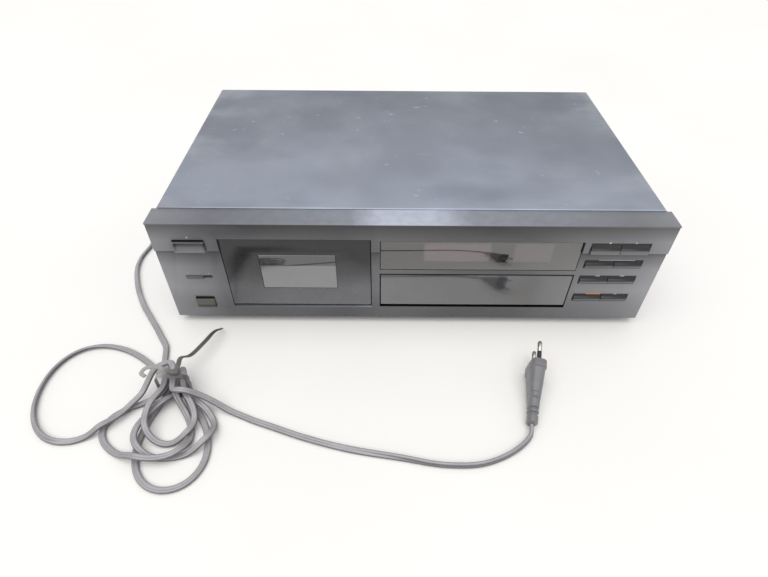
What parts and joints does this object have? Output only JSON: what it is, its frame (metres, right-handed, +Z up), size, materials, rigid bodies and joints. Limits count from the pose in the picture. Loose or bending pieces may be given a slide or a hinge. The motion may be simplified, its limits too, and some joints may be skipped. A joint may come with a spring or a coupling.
{
  "type": "cassette deck",
  "caption": "Front-loading cassette deck with a bottom-hinged cassette door, a drop-down control flap, push keys, a display window and a tied mains lead with its plug.",
  "frame": {"origin": "on the table, under the middle of the deck without its lead", "axes": "+X to the right seen from the front, the front faces -Y, +Z up"},
  "size_m": [0.5345, 0.5136, 0.1185],
  "materials": {
    "zinc_sheet": "zinc-plated sheet",
    "painted_sheet": "satin dark grey paint",
    "panel_plastic": "satin black moulding",
    "dark_plastic": "dark moulding",
    "smoked_window": "smoked acrylic",
    "tube_glass": "evacuated glass",
    "board_laminate": "paper laminate",
    "pale_plastic": "pale moulding",
    "plain_steel": "plain",
    "brass": "turned",
    "rubber": "soft",
    "transformer_core": "stacked core with winding",
    "lead_sheath": "soft grey sheath"
  },
  "bodies": {
    "case": {"chassis": "zinc_sheet", "transport_plate": "zinc_sheet", "flywheel_bracket": "zinc_sheet", "top_cover": "painted_sheet", "rear_panel": "painted_sheet", "front_panel": "panel_plastic", "foot_front_left": "dark_plastic", "foot_front_right": "dark_plastic", "foot_rear_left": "dark_plastic", "foot_rear_right": "dark_plastic", "door_damper": "dark_plastic", "power_switch": "dark_plastic", "control_well": "dark_plastic", "phones_socket": "dark_plastic", "jack_block": "dark_plastic", "plug_body": "dark_plastic", "display_window": "smoked_window", "display_tube": "tube_glass", "front_board": "board_laminate", "main_board": "board_laminate", "cable_tie": "pale_plastic", "capstan_motor": "plain_steel", "timer_switch": "plain_steel", "plug_pin_left": "plain_steel", "plug_pin_right": "plain_steel", "drive_belt": "rubber", "strain_relief": "rubber", "transformer": "transformer_core", "cord_lead": "lead_sheath", "cord_bundle": "lead_sheath", "cord_tail": "lead_sheath"},
    "door": {"door_panel": "panel_plastic", "door_window": "smoked_window", "cassette_holder": "dark_plastic"},
    "damper_gear": {"damper_gear": "pale_plastic"},
    "spindle_left": {"spindle_left": "pale_plastic"},
    "spindle_right": {"spindle_right": "pale_plastic"},
    "head_slider": {"head_plate": "zinc_sheet", "play_head": "plain_steel", "erase_head": "pale_plastic"},
    "pinch_arm": {"pinch_arm": "plain_steel"},
    "pinch_roller": {"pinch_roller": "rubber"},
    "capstan": {"capstan_flywheel": "brass"},
    "motor_pulley": {"motor_pulley": "brass"},
    "power_button": {"power_button": "panel_plastic"},
    "timer_knob": {"timer_knob": "panel_plastic"},
    "eject_button": {"eject_button": "panel_plastic"},
    "control_flap": {"control_flap": "panel_plastic"},
    "record_level_knob": {"record_level_knob": "panel_plastic"},
    "balance_knob": {"balance_knob": "panel_plastic"},
    "bias_knob": {"bias_knob": "panel_plastic"},
    "noise_reduction_slider": {"noise_reduction_slider": "panel_plastic"},
    "stop_key": {"stop_key": "panel_plastic"},
    "play_key": {"play_key": "panel_plastic"},
    "search_key": {"search_key": "panel_plastic"},
    "mute_key": {"mute_key": "panel_plastic"},
    "rewind_key": {"rewind_key": "panel_plastic"},
    "wind_key": {"wind_key": "panel_plastic"},
    "record_key": {"record_key": "panel_plastic"},
    "pause_key": {"pause_key": "panel_plastic"}
  },
  "joints": [
    {"name": "door_hinge", "type": "hinge", "parent": "case", "child": "door", "pos_m": [-0.09835, -0.12685, 0.026], "axis": [1, 0, 0], "range_deg": [0, 30]},
    {"name": "damper_turn", "type": "hinge", "parent": "case", "child": "damper_gear", "pos_m": [-0.15135, -0.10044, 0.03161], "axis": [1, 0, 0], "range_deg": [-132.5, 0.5]},
    {"name": "spindle_left_turn", "type": "hinge", "parent": "case", "child": "spindle_left", "pos_m": [-0.1196, -0.11635, 0.064], "axis": [0, 1, 0], "continuous": true},
    {"name": "spindle_right_turn", "type": "hinge", "parent": "case", "child": "spindle_right", "pos_m": [-0.0771, -0.11635, 0.064], "axis": [0, 1, 0], "continuous": true},
    {"name": "head_slide", "type": "slide", "parent": "case", "child": "head_slider", "axis": [0, 0, 1], "range_m": [0, 0.006]},
    {"name": "pinch_swing", "type": "hinge", "parent": "case", "child": "pinch_arm", "pos_m": [-0.08335, -0.11535, 0.022], "axis": [0, -1, 0], "range_deg": [0, 20.1]},
    {"name": "pinch_roller_turn", "type": "hinge", "parent": "pinch_arm", "child": "pinch_roller", "pos_m": [-0.06635, -0.11935, 0.022], "axis": [0, 1, 0], "continuous": true},
    {"name": "capstan_turn", "type": "hinge", "parent": "case", "child": "capstan", "pos_m": [-0.06738, -0.10035, 0.03586], "axis": [0, 1, 0], "continuous": true},
    {"name": "pulley_turn", "type": "hinge", "parent": "case", "child": "motor_pulley", "pos_m": [-0.13235, -0.10035, 0.04], "axis": [0, 1, 0], "continuous": true},
    {"name": "power_push", "type": "slide", "parent": "case", "child": "power_button", "axis": [0, 1, 0], "range_m": [0, 0.003], "stiffness_N_per_m": 400, "springref_m": -0.001},
    {"name": "timer_shift", "type": "slide", "parent": "case", "child": "timer_knob", "axis": [1, 0, 0], "range_m": [0, 0.008]},
    {"name": "eject_push", "type": "slide", "parent": "case", "child": "eject_button", "axis": [0, 1, 0], "range_m": [0, 0.003], "stiffness_N_per_m": 400, "springref_m": -0.001},
    {"name": "stop_key_push", "type": "slide", "parent": "case", "child": "stop_key", "axis": [0, 1, 0], "range_m": [0, 0.001], "stiffness_N_per_m": 600, "springref_m": -0.0005},
    {"name": "play_key_push", "type": "slide", "parent": "case", "child": "play_key", "axis": [0, 1, 0], "range_m": [0, 0.001], "stiffness_N_per_m": 600, "springref_m": -0.0005},
    {"name": "search_key_push", "type": "slide", "parent": "case", "child": "search_key", "axis": [0, 1, 0], "range_m": [0, 0.001], "stiffness_N_per_m": 600, "springref_m": -0.0005},
    {"name": "mute_key_push", "type": "slide", "parent": "case", "child": "mute_key", "axis": [0, 1, 0], "range_m": [0, 0.001], "stiffness_N_per_m": 600, "springref_m": -0.0005},
    {"name": "rewind_key_push", "type": "slide", "parent": "case", "child": "rewind_key", "axis": [0, 1, 0], "range_m": [0, 0.001], "stiffness_N_per_m": 600, "springref_m": -0.0005},
    {"name": "wind_key_push", "type": "slide", "parent": "case", "child": "wind_key", "axis": [0, 1, 0], "range_m": [0, 0.001], "stiffness_N_per_m": 600, "springref_m": -0.0005},
    {"name": "record_key_push", "type": "slide", "parent": "case", "child": "record_key", "axis": [0, 1, 0], "range_m": [0, 0.001], "stiffness_N_per_m": 600, "springref_m": -0.0005},
    {"name": "pause_key_push", "type": "slide", "parent": "case", "child": "pause_key", "axis": [0, 1, 0], "range_m": [0, 0.001], "stiffness_N_per_m": 600, "springref_m": -0.0005},
    {"name": "flap_hinge", "type": "hinge", "parent": "case", "child": "control_flap", "pos_m": [0.0592, -0.12785, 0.0262], "axis": [1, 0, 0], "range_deg": [0, 90]},
    {"name": "level_turn", "type": "hinge", "parent": "case", "child": "record_level_knob", "pos_m": [0.112, -0.12135, 0.0421], "axis": [0, 1, 0], "range_deg": [-150, 150]},
    {"name": "balance_turn", "type": "hinge", "parent": "case", "child": "balance_knob", "pos_m": [0.078, -0.12135, 0.0421], "axis": [0, 1, 0], "range_deg": [-140, 140]},
    {"name": "bias_turn", "type": "hinge", "parent": "case", "child": "bias_knob", "pos_m": [0.056, -0.12135, 0.0421], "axis": [0, 1, 0], "range_deg": [-140, 140]},
    {"name": "noise_reduction_shift", "type": "slide", "parent": "case", "child": "noise_reduction_slider", "axis": [1, 0, 0], "range_m": [0, 0.0069]}
  ],
  "couplings": [
    {"joint": "damper_turn", "follows": "door_hinge", "ratio": -4.4},
    {"joint": "pinch_swing", "follows": "head_slide", "rad_per_m": 58.178},
    {"joint": "pulley_turn", "follows": "capstan_turn", "ratio": 5.5}
  ]
}
